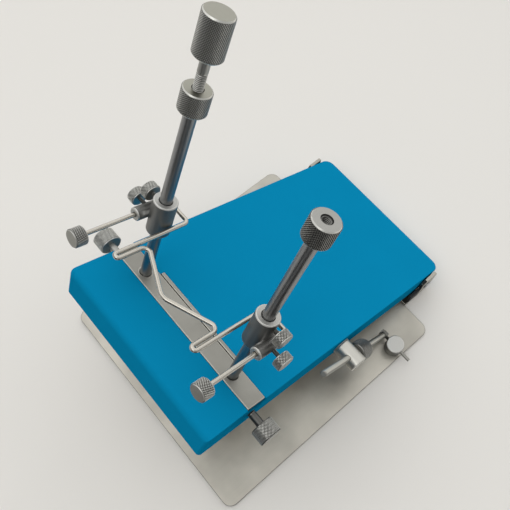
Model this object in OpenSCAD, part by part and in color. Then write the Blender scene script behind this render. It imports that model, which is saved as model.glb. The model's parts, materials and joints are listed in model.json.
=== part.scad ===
// Tilting work holder: a flat base plate carries a shallow box platform on a rear hinge.
// A side stay sets the tilt. Two posts stand in a cross bar and guide a sliding bent wire bar.
// Millimetres. +X runs to the low, hinged end, +Y to the left side, +Z up.
// The origin is the centre of the base plate's underside.

/* [Base plate] */
// Width of the base plate beyond each side of the platform
base_side = 35; // [33:0.5:60]
// Length of the base plate, along the platform
base_l = 236; // [200:1:280]
// Thickness of the base plate
base_t = 3; // [2:0.5:6]
// Corner radius of the base plate
base_r = 8; // [2:0.5:20]

/* [Platform] */
// Width of the platform
platform_w = 150; // [120:1:170]
// Length of the platform
platform_l = 282; // [240:1:320]
// Height of the platform's side walls
platform_h = 24.5; // [22:0.5:30]
// Angle of the platform above the base plate
tilt = 25.2; // [10:0.1:30]
// Wall thickness of the platform shell
wall_t = 3; // [2:0.5:4]
// Thickness of the platform's top
top_t = 3; // [2:0.5:4]
// Radius of the two far corners, seen from above
far_r = 8; // [4:0.5:14]
// Radius of the two near corners, seen from above
near_r = 3; // [1:0.5:8]
// Rounding of the near top edge
edge_r = 5; // [1:0.5:8]
// Thickness of the sheet that closes the underside
floor_t = 2; // [1:0.5:3]
// Diameter of the floor screws
floor_screw_d = 3; // [2.5:0.5:4]
// Length of the floor screws
floor_screw_l = 10; // [8:0.5:14]
// Diameter of the bosses for the floor screws
floor_boss_d = 8; // [7:0.5:10]
// Floor screw bosses in from the sides
floor_boss_in = 12; // [10:0.5:16]

/* [Rear hinge] */
// Hinge axis beyond the far edge of the base plate
hinge_over = 23; // [18:0.5:30]
// Hinge axis above the top of the base plate
hinge_z = 16; // [14:0.5:22]
// Hinge axis to the far end of the platform
hinge_back = 13.9; // [12:0.1:20]
// Hinge axis below the platform's top
hinge_drop = 13.6; // [10:0.1:16]
// Diameter of the hinge pins
hinge_d = 5; // [4:0.5:6]
// Thickness of the hinge ears
ear_t = 3; // [2:0.5:5]
// Gap between the ears and the platform
ear_gap = 1; // [0.6:0.1:2]
// Reach of the ears from the hinge axis towards the near end
ear_near = 7; // [6:0.5:12]
// Reach of the ears beyond the hinge axis
ear_far = 9; // [6:0.5:14]
// Cut corner of the ears
ear_cut = 4; // [2:0.5:6]
// Height of the ears above the base plate
ear_top = 29; // [24:0.5:34]
// Thickness of the hinge bracket's web
web_t = 2.5; // [1.5:0.5:3]
// Overlap of the web on the base plate
web_lap = 26; // [16:0.5:40]
// Width of the web on the base plate
lap_w = 124; // [110:1:132]
// End of the web short of the hinge axis
web_end = 5; // [4:0.5:8]
// Diameter of the bracket screws
bracket_screw_d = 4; // [3:0.5:5]
// Spacing of the bracket screws
bracket_screw_step = 34; // [26:1:36]
// Length of the bosses behind the side walls
hinge_boss = 6; // [4:0.5:10]
// Wall of the bosses around the hinge pins
boss_wall = 4; // [3:0.5:5]
// Width of the washers around the hinge pins
washer_wall = 3; // [2:0.5:4]
// Height of the heads of the hinge pins
pin_head_h = 1.2; // [0.8:0.1:2]
// Height of the rubber pads above the base plate
pad_h = 15; // [8:0.5:18]
// Length of the rubber pads
pad_l = 13; // [8:0.5:18]

/* [Side stay] */
// Stay pivot short of the far edge of the base plate
stay_back = 37.5; // [30:0.5:48]
// Stay pivot above the top of the base plate
stay_z = 9; // [8:0.5:12]
// Stay rod beyond the right side of the platform
stay_out = 12; // [11:0.5:16]
// Diameter of the stay rod
stay_d = 5; // [4:0.5:7]
// Length of the stay rod from its pivot
stay_len = 134; // [110:1:150]
// Diameter of the stay pillar
pillar_d = 16; // [12:0.5:18]
// Height of the stay pillar
pillar_h = 14; // [12:0.5:20]
// Gap between the stay rod and the pillar
pillar_gap = 2.7; // [0.6:0.1:4]
// Diameter of the pillar screw
pillar_screw_d = 5; // [4:0.5:6]
// Diameter of the stay pivot pin
stay_pin_d = 3; // [2:0.5:4]
// Length of the pivot pin beyond the pillar
stay_pin_out = 10; // [4:0.5:14]
// Diameter of the eye at the foot of the stay rod
eye_d = 7; // [6.5:0.5:12]
// Place of the stay block along the platform from its near end
block_u = 142; // [120:1:170]
// Stay block axis below the platform's top
block_drop = 12.25; // [11:0.05:14]
// Diameter of the turned stay block
block_d = 15; // [10:0.5:18]
// Reach of the stay block beyond the rod
block_out = 9; // [7:0.5:14]
// Gap between the stay block and the platform
block_gap = 1; // [1:0.1:2]
// Diameter of the trunnion
trunnion_d = 6; // [5:0.5:7]
// Thickness of the stay washer
stay_washer_t = 0.8; // [0.5:0.1:0.9]
// Diameter of the stay nut
stay_nut_d = 17; // [14:0.5:20]
// Length of the stay nut
stay_nut_l = 19; // [12:0.5:24]
// Room left around the trunnion for the swing of the stay
trunnion_play = 2.1; // [2:0.1:2.6]

/* [Cross bar] */
// Place of the posts along the platform from its near end
bar_u = 44; // [36:0.5:60]
// Width of the cross bar
bar_s = 16; // [14:0.5:18]
// Depth of the cross bar between the side walls
bar_h = 16.5; // [15:0.5:17]
// Thickness of the bar's ends, which lie over the side walls
bar_lip = 3.5; // [2.5:0.5:5]
// Height of the bar above the platform's top
bar_proud = 0.4; // [0:0.1:1]
// Shortfall of the bar at each side of the platform
bar_short = 1; // [0.5:0.5:3]
// Thickness of the channel around the bar
rib_t = 3; // [2:0.5:4]
// Diameter of the screws that hold the bar
bar_screw_d = 4; // [3:0.5:5]
// Bar screws from the middle
bar_screw_y = 20; // [15:1:30]
// Reach of the bar screws into the bar
bar_screw_in = 8; // [6:0.5:10]
// Gap between the bar and the filler strip
strip_gap = 0.6; // [0.4:0.1:1]
// Width of the filler strip behind the bar
strip_w = 3; // [2:0.5:4]
// Length of the filler strip
strip_l = 84; // [60:1:90]
// Depth of the filler strip
strip_h = 6; // [4:0.5:8]

/* [Posts] */
// Distance of each post from the middle
post_y = 48.6; // [42:0.2:54]
// Diameter of the posts
post_d = 8; // [6:0.5:10]
// Top of the post heads above the platform
head_top = 157.6; // [120:0.2:180]
// Diameter of the knurled post heads
head_d = 17; // [14:0.5:20]
// Height of the knurled post heads
head_h = 14; // [12:0.5:20]
// Diameter of the thread in the post heads
stud_d = 6; // [5:0.5:8]
// Depth of the thread in the post heads
head_hole = 9; // [7:0.5:12]
// Gap between the left head and the top cap
cap_gap = 19; // [8:0.5:22]
// Height of the top cap
cap_h = 23; // [16:0.5:30]
// Depth of the stud in the top cap
cap_hole = 10; // [8:0.5:12]
// Space left below the stud in the post head
stud_clear = 2; // [1:0.5:3]
// Chamfer of the post heads and the cap
head_c = 0.8; // [0.4:0.1:1.5]

/* [Sliding carriage] */
// Outer diameter of the sleeves
sleeve_d = 16; // [13:0.5:20]
// Underside of the sleeves above the platform
sleeve_z = 47; // [10:1:60]
// Length of the sleeves
sleeve_l = 27.5; // [24:0.5:44]
// Outer diameter of the cross tubes
tube_d = 9; // [7:0.5:11]
// Length of the cross tubes
tube_l = 22; // [16:0.5:24]
// Cross tube axis to the post axis
tube_off = 10.4; // [9.6:0.1:12]
// Cross tube axis above the underside of the sleeves
tube_rise = 10; // [8:0.5:14]
// Front end of the cross tubes before the post axis
tube_front = 13; // [9:0.5:16]
// Lower screw before the post axis
lower_front = 1.5; // [0:0.5:3]
// Sleeve screw below the top of the sleeve
sleeve_screw = 5.5; // [5:0.5:8]
// Diameter of the small screw heads
thumb_d = 12; // [8:0.5:13]
// Length of the small screw heads
thumb_l = 6; // [4:0.5:9]
// Shank length between a sleeve and its screw head
upper_reach = 3.7; // [2:0.1:6]
// Shank length between a cross tube and its screw head
lower_reach = 5.1; // [2:0.1:7]
// Chamfer of the small knobs
knob_c = 0.6; // [0.3:0.1:1]
// Head left beyond the end of a stud
stud_cover = 1.5; // [1:0.1:2.5]
// Thread diameter of the small screws
thumb_stud_d = 3; // [2.5:0.5:4]
// Diameter of the end screw heads
end_d = 17; // [12:0.5:18]
// Length of the end screw heads
end_l = 11; // [8:0.5:14]
// Shank length between the cross bar and an end screw head
end_reach = 11.4; // [6:0.1:16]
// End screws before the post axis
end_front = 2; // [0:0.5:3]
// End screws below the platform's top
end_drop = 10; // [8:0.5:11.5]

/* [Wire bar] */
// Diameter of the wire
wire_d = 3; // [2:0.5:4]
// Overhang of the wire bar behind the posts
wire_back = 14.5; // [12.5:0.5:20]
// Overhang of the wire ends in front of the posts
wire_front = 54; // [45:0.5:60]
// Overhang of the narrow bends in front of the posts
bend_front = 41.9; // [30:0.1:50]
// Overhang of the shoulders in front of the posts
shoulder_front = 19.5; // [16:0.5:26]
// Overhang of the middle dip in front of the posts
dip_front = 35.8; // [26:0.2:40]
// Gap between the returning legs and the sleeves
leg_gap = 0.5; // [0.4:0.1:2]
// Half the width of the narrow bends
bend_r = 1.9; // [1.8:0.1:3]
// Radius of the bends behind the posts
corner_r = 3; // [2:0.5:5]
// Radius of the shoulders
shoulder_r = 4; // [3:0.5:6]
// Radius of the middle dip
dip_r = 8; // [4:0.5:12]
// Diameter of the wire end knobs
knob_d = 12; // [9:0.5:14]
// Length of the wire end knobs
knob_l = 8; // [7:0.5:14]
// Knob left beyond the end of the wire
knob_cover = 3; // [2:0.5:4]

/* [Fits] */
// Radial clearance of running fits
run = 0.05; // [0.02:0.01:0.1]
// Gap between parts that only lie beside each other
gap = 0.3; // [0.2:0.05:0.5]
// Chamfer at the mouths of the bores
mouth_c = 0.7; // [0.3:0.1:1]

/* [Hidden] */
$fn = 64;
half_w = platform_w / 2;
base_w = platform_w + 2 * base_side;
hinge_x = base_l / 2 + hinge_over;
hinge_u = platform_l - hinge_back;
ear_in = half_w + ear_gap;
ear_out = ear_in + ear_t;
ear_x0 = hinge_x - ear_near;
ear_x1 = hinge_x + ear_far;
web_x0 = base_l / 2 - web_lap;
web_x1 = hinge_x - web_end;
bracket_screw_x = web_x0 + web_lap / 2;
bracket_screws = [for (i = [-1.5:1:1.5]) i * bracket_screw_step];
stay_x = base_l / 2 - stay_back;
stay_y = half_w + stay_out;
pillar_y = stay_y + stay_d / 2 + pillar_gap + pillar_d / 2;
pin_in = stay_y - stay_d / 2 - gap;
block_du = block_u - hinge_u;
block_dw = hinge_drop - block_drop;
block_x = hinge_x + block_du * cos(tilt) + block_dw * sin(tilt);
block_z = hinge_z - block_du * sin(tilt) + block_dw * cos(tilt);
stay_angle = atan2(block_z - stay_z, stay_x - block_x);
block_s = norm([stay_x - block_x, block_z - stay_z]);
block_in = stay_out - block_gap;
trunnion_l = stay_out + wall_t + 4 * block_gap - block_in;
washer_d = trunnion_d + 4 * trunnion_play + 2 * gap;
clip_d = trunnion_d + 3.3 * trunnion_play;
slot_w = bar_s + 2 * gap;
bar_low = bar_h - bar_proud;
strip_u = bar_u + bar_s / 2 + strip_gap;
bar_end = half_w - bar_short;
end_u = bar_u - end_front;
wall_in = half_w - wall_t;
bar_screws = [-bar_screw_y, bar_screw_y];
head_low = head_top - head_h;
head_socket = head_h - head_hole - head_c;
cap_low = head_top + cap_gap;
stud_low = head_top - head_hole + stud_clear;
tube_y = post_y + tube_off;
wire_w = sleeve_z + tube_rise;
screw_w = sleeve_z + sleeve_l - sleeve_screw;
tube_u0 = bar_u - tube_front;
lower_u = bar_u - lower_front;
leg_y = post_y - sleeve_d / 2 - leg_gap - wire_d / 2;
inner_y = leg_y - 2 * bend_r;
upper_tip = post_y + post_d / 2 + run;
upper_head = post_y + sleeve_d / 2 + upper_reach;
lower_tip = tube_y + wire_d / 2 + run;
lower_head = tube_y + tube_d / 2 + lower_reach;
end_tip = post_y + post_d / 2 + run;
end_head = bar_end + end_reach;
floor_low = platform_h - floor_t;
floor_bosses = [for (u = [0.05, 0.42, 0.81]) [u * platform_l, half_w - floor_boss_in]];
steel = [0.66, 0.65, 0.62];
dark_steel = [0.42, 0.42, 0.42];
blue = [0.02, 0.45, 0.63];
black = [0.06, 0.06, 0.07];

// Places its children on the platform: X along it from the near end, Z = 0 at its top.
module on_platform() {
    translate([hinge_x, 0, base_t + hinge_z])
        rotate([0, tilt, 0])
            translate([-hinge_u, 0, hinge_drop])
                children();
}

// Places its children on the stay: the rod runs along -X from the pivot.
module on_stay() {
    translate([stay_x, -stay_y, base_t + stay_z])
        rotate([0, stay_angle, 0])
            children();
}

// A cylinder along +X.
module rod_x(d, l) {
    rotate([0, 90, 0])
        cylinder(d = d, h = l);
}

// A cylinder along +Y, or along -Y with side = -1.
module rod_y(d, l, side = 1) {
    rotate([-90 * side, 0, 0])
        cylinder(d = d, h = l);
}

// A turned knob along +Z with chamfered rims.
module turned(d, h, c) {
    rotate_extrude()
        polygon([[0, 0], [d / 2 - c, 0], [d / 2, c], [d / 2, h - c], [d / 2 - c, h], [0, h]]);
}

// The chamfered mouth of a bore that opens towards +Z at Z = 0.
module mouth(d) {
    translate([0, 0, -mouth_c])
        cylinder(d1 = d, d2 = d + 4 * mouth_c, h = 2 * mouth_c);
}

// A rounded rectangle from x0 to x1, with its own radius at each end.
module plan(x0, x1, hw, r0, r1) {
    translate([x0 + r0, -hw])
        square([x1 - x0 - r0 - r1, 2 * hw]);
    translate([x0, r0 - hw])
        square([r0, 2 * (hw - r0)]);
    translate([x1 - r1, r1 - hw])
        square([r1, 2 * (hw - r1)]);
    for (s = [-1, 1]) {
        translate([x0 + r0, s * (hw - r0)])
            circle(r = r0);
        translate([x1 - r1, s * (hw - r1)])
            circle(r = r1);
    }
}

// A countersunk screw, head face at Z = 0, shank down.
module flat_screw(d, l) {
    translate([0, 0, -l])
        cylinder(d = d, h = l);
    translate([0, 0, -d / 2])
        cylinder(d1 = d, d2 = 2 * d, h = d / 2);
}

module base_plate() {
    color(steel)
        difference() {
            linear_extrude(base_t)
                plan(-base_l / 2, base_l / 2, base_w / 2, base_r, base_r);
            for (y = bracket_screws)
                translate([bracket_screw_x, y, base_t + web_t])
                    flat_screw(bracket_screw_d, 2 * base_t + web_t);
            translate([stay_x, -pillar_y, 0])
                mirror([0, 0, 1])
                    flat_screw(pillar_screw_d, 2 * base_t);
        }
}

module hinge_bracket() {
    color(steel)
        translate([0, 0, base_t])
            difference() {
                union() {
                    translate([web_x0, -lap_w / 2, 0])
                        cube([web_x1 - web_x0, lap_w, web_t]);
                    translate([base_l / 2, -ear_out, 0])
                        cube([web_x1 - base_l / 2, 2 * ear_out, web_t]);
                    for (s = [0, 1])
                        mirror([0, s, 0])
                            translate([0, ear_out, 0])
                                rotate([90, 0, 0])
                                    linear_extrude(ear_t)
                                        polygon([
                                            [ear_x0, 0], [ear_x1, 0], [ear_x1, ear_top],
                                            [ear_x0 + ear_cut, ear_top], [ear_x0, ear_top - ear_cut]
                                        ]);
                }
                translate([hinge_x, -2 * ear_out, hinge_z])
                    rod_y(hinge_d, 4 * ear_out);
                for (y = bracket_screws)
                    translate([bracket_screw_x, y, web_t])
                        flat_screw(bracket_screw_d, 2 * web_t);
            }
}

module bracket_screws_set() {
    color(dark_steel)
        for (y = bracket_screws)
            translate([bracket_screw_x, y, base_t + web_t])
                flat_screw(bracket_screw_d, base_t + web_t);
}

module hinge_pins() {
    color(dark_steel)
        for (s = [-1, 1]) {
            translate([hinge_x, s * (half_w - wall_t - hinge_boss + gap), base_t + hinge_z])
                rod_y(hinge_d, ear_gap + ear_t + wall_t + hinge_boss - gap, s);
            translate([hinge_x, s * ear_out, base_t + hinge_z])
                rod_y(1.6 * hinge_d, pin_head_h, s);
        }
}

module hinge_washers() {
    color(black)
        for (s = [-1, 1])
            translate([hinge_x, s * (half_w + run), base_t + hinge_z])
                difference() {
                    rod_y(hinge_d + 2 * washer_wall, ear_gap - run, s);
                    translate([0, -s * ear_gap, 0])
                        rod_y(hinge_d, 3 * ear_gap, s);
                }
}

module rear_pads() {
    color(black)
        for (s = [0, 1])
            mirror([0, s, 0])
                translate([ear_x0 - pad_l, ear_in, base_t + web_t])
                    cube([pad_l, ear_t, pad_h - web_t]);
}

module stay_pillar() {
    color(steel)
        difference() {
            translate([stay_x, -pillar_y, base_t])
                turned(pillar_d, pillar_h, knob_c);
            translate([stay_x, -pillar_y - pillar_d, base_t + stay_z])
                rod_y(stay_pin_d, 2 * pillar_d);
            translate([stay_x, -pillar_y, 0])
                cylinder(d = pillar_screw_d, h = base_t + stay_z - stay_pin_d);
        }
}

module pillar_screw() {
    color(dark_steel)
        translate([stay_x, -pillar_y, 0])
            mirror([0, 0, 1])
                flat_screw(pillar_screw_d, base_t + stay_z - stay_pin_d - gap);
}

module stay_pin() {
    color(steel)
        translate([stay_x, -pin_in, base_t + stay_z]) {
            rod_y(stay_pin_d, pillar_y + pillar_d / 2 + stay_pin_out - pin_in, -1);
            rod_y(2 * stay_pin_d, pin_head_h);
        }
}

module stay_rod() {
    color(steel)
        on_stay()
            difference() {
                union() {
                    rotate([0, -90, 0])
                        turned(stay_d, stay_len, knob_c);
                    translate([0, -stay_d / 2, 0])
                        rod_y(eye_d, stay_d);
                }
                translate([0, -stay_d, 0])
                    rod_y(stay_pin_d + 2 * run, 2 * stay_d);
            }
}

// The block slides on the rod and turns in the platform's side wall on its trunnion.
module stay_block() {
    color(steel)
        on_stay()
            difference() {
                union() {
                    translate([-block_s, block_in, 0])
                        rotate([90, 0, 0])
                            turned(block_d, block_in + block_out, knob_c);
                    translate([-block_s, block_in - block_gap, 0])
                        rod_y(trunnion_d, trunnion_l + block_gap);
                }
                translate([-block_s - block_d, 0, 0])
                    rod_x(stay_d + 2 * run, 2 * block_d);
            }
}

module stay_washer() {
    color(steel)
        on_stay()
            translate([-block_s, block_in, 0])
                difference() {
                    rod_y(washer_d, stay_washer_t);
                    translate([0, -stay_washer_t, 0])
                        rod_y(trunnion_d, 3 * stay_washer_t);
                }
}

module stay_clip() {
    color(dark_steel)
        on_stay()
            translate([-block_s, stay_out + wall_t + gap, 0])
                difference() {
                    rod_y(clip_d, stay_washer_t);
                    translate([0, -stay_washer_t, 0])
                        rod_y(trunnion_d, 3 * stay_washer_t);
                }
}

module stay_nut() {
    color(dark_steel)
        on_stay()
            translate([-block_s + block_d / 2 + gap, 0, 0])
                difference() {
                    rotate([0, 90, 0])
                        turned(stay_nut_d, stay_nut_l, head_c);
                    translate([-stay_nut_l, 0, 0])
                        rod_x(stay_d + 2 * run, 3 * stay_nut_l);
                }
}

// The shell is open below: a channel for the cross bar and screw bosses stand inside it.
module platform_shell() {
    color(blue)
        on_platform()
            difference() {
                union() {
                    difference() {
                        translate([0, 0, -platform_h])
                            linear_extrude(platform_h)
                                plan(0, platform_l, half_w, near_r, far_r);
                        translate([0, 0, -2 * platform_h])
                            linear_extrude(2 * platform_h - top_t)
                                plan(wall_t, platform_l - wall_t, half_w - wall_t, near_r, far_r - wall_t);
                    }
                    translate([bar_u - slot_w / 2 - rib_t, wall_t / 2 - half_w, -bar_low - rib_t])
                        cube([slot_w + 2 * rib_t + strip_w + strip_gap, platform_w - wall_t, bar_low + rib_t - top_t / 2]);
                    for (p = floor_bosses, s = [-1, 1])
                        translate([p[0], s * p[1], -floor_low])
                            cylinder(d = floor_boss_d, h = floor_low - top_t / 2);
                    for (s = [-1, 1])
                        translate([hinge_u, s * (half_w - wall_t / 2), -hinge_drop])
                            rod_y(hinge_d + 2 * boss_wall, wall_t / 2 + hinge_boss, -s);
                }
                translate([bar_u - slot_w / 2, -wall_in, -bar_low])
                    cube([slot_w, 2 * wall_in, 2 * bar_low]);
                translate([bar_u - slot_w / 2, -platform_w, bar_proud - bar_lip - gap])
                    cube([slot_w, 2 * platform_w, 2 * bar_lip]);
                for (s = [-1, 1])
                    translate([end_u, s * (wall_in - wall_t), -end_drop])
                        rod_y(stud_d + 2 * gap, 3 * wall_t, s);
                translate([bar_u, -strip_l / 2 - gap, bar_proud - strip_h])
                    cube([strip_u + strip_w + gap - bar_u, strip_l + 2 * gap, 2 * strip_h]);
                rotate([90, 0, 0])
                    linear_extrude(2 * platform_w, center = true)
                        difference() {
                            translate([-edge_r, -edge_r])
                                square(2 * edge_r);
                            translate([edge_r, -edge_r])
                                circle(r = edge_r);
                        }
                translate([hinge_u, -platform_w, -hinge_drop])
                    rod_y(hinge_d + 2 * run, 2 * platform_w);
                translate([block_u, -half_w - wall_t, -block_drop])
                    rod_y(trunnion_d + 2 * trunnion_play, 3 * wall_t);
                for (p = floor_bosses, s = [-1, 1])
                    translate([p[0], s * p[1], -platform_h])
                        cylinder(d = floor_screw_d, h = floor_screw_l + floor_t);
                for (y = bar_screws)
                    translate([bar_u, y, -platform_h])
                        cylinder(d = bar_screw_d, h = platform_h);
            }
}

module floor_sheet() {
    color(dark_steel)
        on_platform()
            difference() {
                translate([0, 0, -platform_h])
                    linear_extrude(floor_t)
                        plan(wall_t + gap, platform_l - wall_t - gap, half_w - wall_t - gap, near_r, far_r - wall_t);
                for (p = floor_bosses, s = [-1, 1])
                    translate([p[0], s * p[1], -platform_h])
                        mirror([0, 0, 1])
                            flat_screw(floor_screw_d, 2 * floor_t);
            }
}

module floor_screws() {
    color(dark_steel)
        on_platform()
            for (p = floor_bosses, s = [-1, 1])
                translate([p[0], s * p[1], -platform_h])
                    mirror([0, 0, 1])
                        flat_screw(floor_screw_d, floor_screw_l);
}

module cross_bar() {
    color(steel)
        on_platform()
            difference() {
                union() {
                    translate([bar_u - bar_s / 2, -bar_end, bar_proud - bar_lip])
                        cube([bar_s, 2 * bar_end, bar_lip]);
                    translate([bar_u - bar_s / 2, gap - wall_in, -bar_low])
                        cube([bar_s, 2 * (wall_in - gap), bar_h]);
                }
                for (s = [-1, 1]) {
                    translate([bar_u, s * post_y, -2 * bar_low])
                        cylinder(d = post_d + 2 * run, h = 4 * bar_low);
                    translate([bar_u, s * post_y, bar_proud])
                        mouth(post_d);
                    translate([end_u, s * post_y, -end_drop])
                        rod_y(stud_d + 2 * run, half_w, s);
                }
                for (y = bar_screws)
                    translate([bar_u, y, -bar_low - rib_t])
                        cylinder(d = bar_screw_d, h = rib_t + bar_screw_in + gap);
            }
}

module bar_screws_set() {
    color(dark_steel)
        on_platform()
            for (y = bar_screws)
                translate([bar_u, y, -bar_low - rib_t]) {
                    cylinder(d = bar_screw_d, h = rib_t + bar_screw_in);
                    translate([0, 0, -bar_screw_d / 2])
                        cylinder(d = 1.8 * bar_screw_d, h = bar_screw_d / 2);
                }
}

module filler_strip() {
    color(steel)
        on_platform()
            translate([strip_u, -strip_l / 2, bar_proud - strip_h])
                cube([strip_w, strip_l, strip_h]);
}

module post(s) {
    color(dark_steel)
        on_platform()
            translate([bar_u, s * post_y, -bar_low])
                cylinder(d = post_d, h = bar_low + head_low + head_socket);
}

module post_head(s) {
    color(steel)
        on_platform()
            translate([bar_u, s * post_y, head_low])
                difference() {
                    turned(head_d, head_h, head_c);
                    translate([0, 0, -head_h])
                        cylinder(d = post_d, h = head_h + head_socket);
                    translate([0, 0, head_h - head_hole])
                        cylinder(d = stud_d + 2 * run, h = 2 * head_hole);
                    translate([0, 0, head_h])
                        mouth(stud_d);
                }
}

module left_post() {
    post(1);
}

module right_post() {
    post(-1);
}

module left_head() {
    post_head(1);
}

module right_head() {
    post_head(-1);
}

module top_stud() {
    color(steel)
        on_platform()
            translate([bar_u, post_y, stud_low])
                cylinder(d = stud_d, h = cap_low + cap_hole - stud_low);
}

module top_cap() {
    color(steel)
        on_platform()
            translate([bar_u, post_y, cap_low])
                difference() {
                    turned(head_d, cap_h, head_c);
                    translate([0, 0, -cap_h])
                        cylinder(d = stud_d + 2 * run, h = cap_h + cap_hole + run);
                }
}

// A guide sleeve with the cross tube that carries one leg of the wire bar.
module sleeve(s) {
    color(dark_steel)
        on_platform()
            difference() {
                union() {
                    translate([bar_u, s * post_y, sleeve_z])
                        turned(sleeve_d, sleeve_l, knob_c);
                    translate([tube_u0, s * tube_y, wire_w])
                        rotate([0, 90, 0])
                            turned(tube_d, tube_l, knob_c);
                }
                translate([bar_u, s * post_y, 0])
                    cylinder(d = post_d + 2 * run, h = sleeve_z + 2 * sleeve_l);
                translate([bar_u, s * post_y, sleeve_z + sleeve_l])
                    mouth(post_d);
                translate([tube_u0 - tube_l, s * tube_y, wire_w])
                    rod_x(wire_d + 2 * run, 3 * tube_l);
                translate([tube_u0, s * tube_y, wire_w])
                    rotate([0, -90, 0])
                        mouth(wire_d);
                translate([bar_u, s * post_y, screw_w])
                    rod_y(thumb_stud_d + 2 * run, sleeve_d, s);
                translate([lower_u, s * tube_y, wire_w])
                    rod_y(thumb_stud_d + 2 * run, tube_d, s);
            }
}

module left_sleeve() {
    sleeve(1);
}

module right_sleeve() {
    sleeve(-1);
}

// Half of the wire bar's middle line from the dip to one end: corner points, and the bend radius at each.
wire_path = [
    [bar_u - dip_front, 0, dip_r],
    [bar_u - shoulder_front, inner_y, shoulder_r],
    [bar_u - bend_front, inner_y, bend_r],
    [bar_u - bend_front, leg_y, bend_r],
    [bar_u + wire_back, leg_y, corner_r],
    [bar_u + wire_back, tube_y, corner_r],
    [bar_u - wire_front, tube_y, 0]
];
wire_end = len(wire_path) - 1;

function at(i) = [wire_path[i][0], wire_path[i][1]];
function way(i) = i < 0 ? [0, 1] : (at(i + 1) - at(i)) / norm(at(i + 1) - at(i));
function turn(i) = atan2(cross(way(i - 1), way(i)), way(i - 1) * way(i));
function cut(i) = i == 0 ? dip_r * tan(abs(turn(0))) : i == wire_end ? 0 : wire_path[i][2] * tan(abs(turn(i)) / 2);
function leg(i) = norm(at(i + 1) - at(i)) - cut(i) - cut(i + 1);

// A bend that starts along +X and turns by the signed angle; its children go on from its end.
module bend(angle, r) {
    side = angle < 0 ? -1 : 1;
    mirror([0, angle < 0 ? 1 : 0, 0])
        translate([0, r, 0])
            rotate([0, 0, -90])
                rotate_extrude(angle = abs(angle))
                    translate([r, 0])
                        circle(d = wire_d);
    translate([0, side * r, 0])
        rotate([0, 0, angle])
            translate([0, -side * r, 0])
                children();
}

// A bend and the straight length after it, then the rest of the path.
module wire_from(i) {
    bend(turn(i), wire_path[i][2]) {
        if (leg(i) > 0.01)
            rod_x(wire_d, leg(i));
        if (i + 1 < wire_end)
            translate([leg(i), 0, 0])
                wire_from(i + 1);
    }
}

// One wire, bent alike to both sides of the dip.
module wire_bar() {
    apex = bar_u - dip_front + dip_r / cos(turn(0)) - dip_r;
    color(steel)
        on_platform()
            for (s = [0, 1])
                mirror([0, s, 0])
                    translate([apex, 0, wire_w])
                        rotate([0, 0, 90])
                            wire_from(0);
}

module wire_knob(s) {
    color(steel)
        on_platform()
            translate([bar_u - wire_front - knob_cover, s * tube_y, wire_w])
                difference() {
                    rotate([0, 90, 0])
                        turned(knob_d, knob_l, knob_c);
                    translate([knob_cover, 0, 0])
                        rod_x(wire_d, knob_l);
                }
}

module left_knob() {
    wire_knob(1);
}

module right_knob() {
    wire_knob(-1);
}

// The threaded part of a hand screw along Y, from its tip to inside its head.
module hand_stud(s, u, w, tip, head, d, head_l) {
    color(dark_steel)
        on_platform()
            translate([u, s * tip, w])
                rod_y(d, head - tip + head_l - stud_cover, s);
}

// The knurled head of a hand screw along Y.
module hand_head(s, u, w, head, d, bore_d, head_l) {
    color(steel)
        on_platform()
            translate([u, s * head, w])
                difference() {
                    rotate([-90 * s, 0, 0])
                        turned(d, head_l, knob_c);
                    translate([0, -s * head_l, 0])
                        rod_y(bore_d + 2 * run, 2 * head_l - stud_cover + run, s);
                }
}

module left_end_stud() {
    hand_stud(1, end_u, -end_drop, end_tip, end_head, stud_d, end_l);
}

module left_end_head() {
    hand_head(1, end_u, -end_drop, end_head, end_d, stud_d, end_l);
}

module right_end_stud() {
    hand_stud(-1, end_u, -end_drop, end_tip, end_head, stud_d, end_l);
}

module right_end_head() {
    hand_head(-1, end_u, -end_drop, end_head, end_d, stud_d, end_l);
}

module left_upper_stud() {
    hand_stud(1, bar_u, screw_w, upper_tip, upper_head, thumb_stud_d, thumb_l);
}

module left_upper_head() {
    hand_head(1, bar_u, screw_w, upper_head, thumb_d, thumb_stud_d, thumb_l);
}

module right_upper_stud() {
    hand_stud(-1, bar_u, screw_w, upper_tip, upper_head, thumb_stud_d, thumb_l);
}

module right_upper_head() {
    hand_head(-1, bar_u, screw_w, upper_head, thumb_d, thumb_stud_d, thumb_l);
}

module left_lower_stud() {
    hand_stud(1, lower_u, wire_w, lower_tip, lower_head, thumb_stud_d, thumb_l);
}

module left_lower_head() {
    hand_head(1, lower_u, wire_w, lower_head, thumb_d, thumb_stud_d, thumb_l);
}

module right_lower_stud() {
    hand_stud(-1, lower_u, wire_w, lower_tip, lower_head, thumb_stud_d, thumb_l);
}

module right_lower_head() {
    hand_head(-1, lower_u, wire_w, lower_head, thumb_d, thumb_stud_d, thumb_l);
}

base_plate();
hinge_bracket();
bracket_screws_set();
hinge_pins();
hinge_washers();
rear_pads();
stay_pillar();
pillar_screw();
stay_pin();
stay_rod();
stay_block();
stay_washer();
stay_clip();
stay_nut();
platform_shell();
floor_sheet();
floor_screws();
cross_bar();
bar_screws_set();
filler_strip();
left_post();
right_post();
left_head();
right_head();
top_stud();
top_cap();
left_sleeve();
right_sleeve();
wire_bar();
left_knob();
right_knob();
left_end_stud();
left_end_head();
right_end_stud();
right_end_head();
left_upper_stud();
left_upper_head();
right_upper_stud();
right_upper_head();
left_lower_stud();
left_lower_head();
right_lower_stud();
right_lower_head();
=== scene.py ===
import json
import math

import bmesh
import bpy
from mathutils import Matrix, Vector


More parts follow.
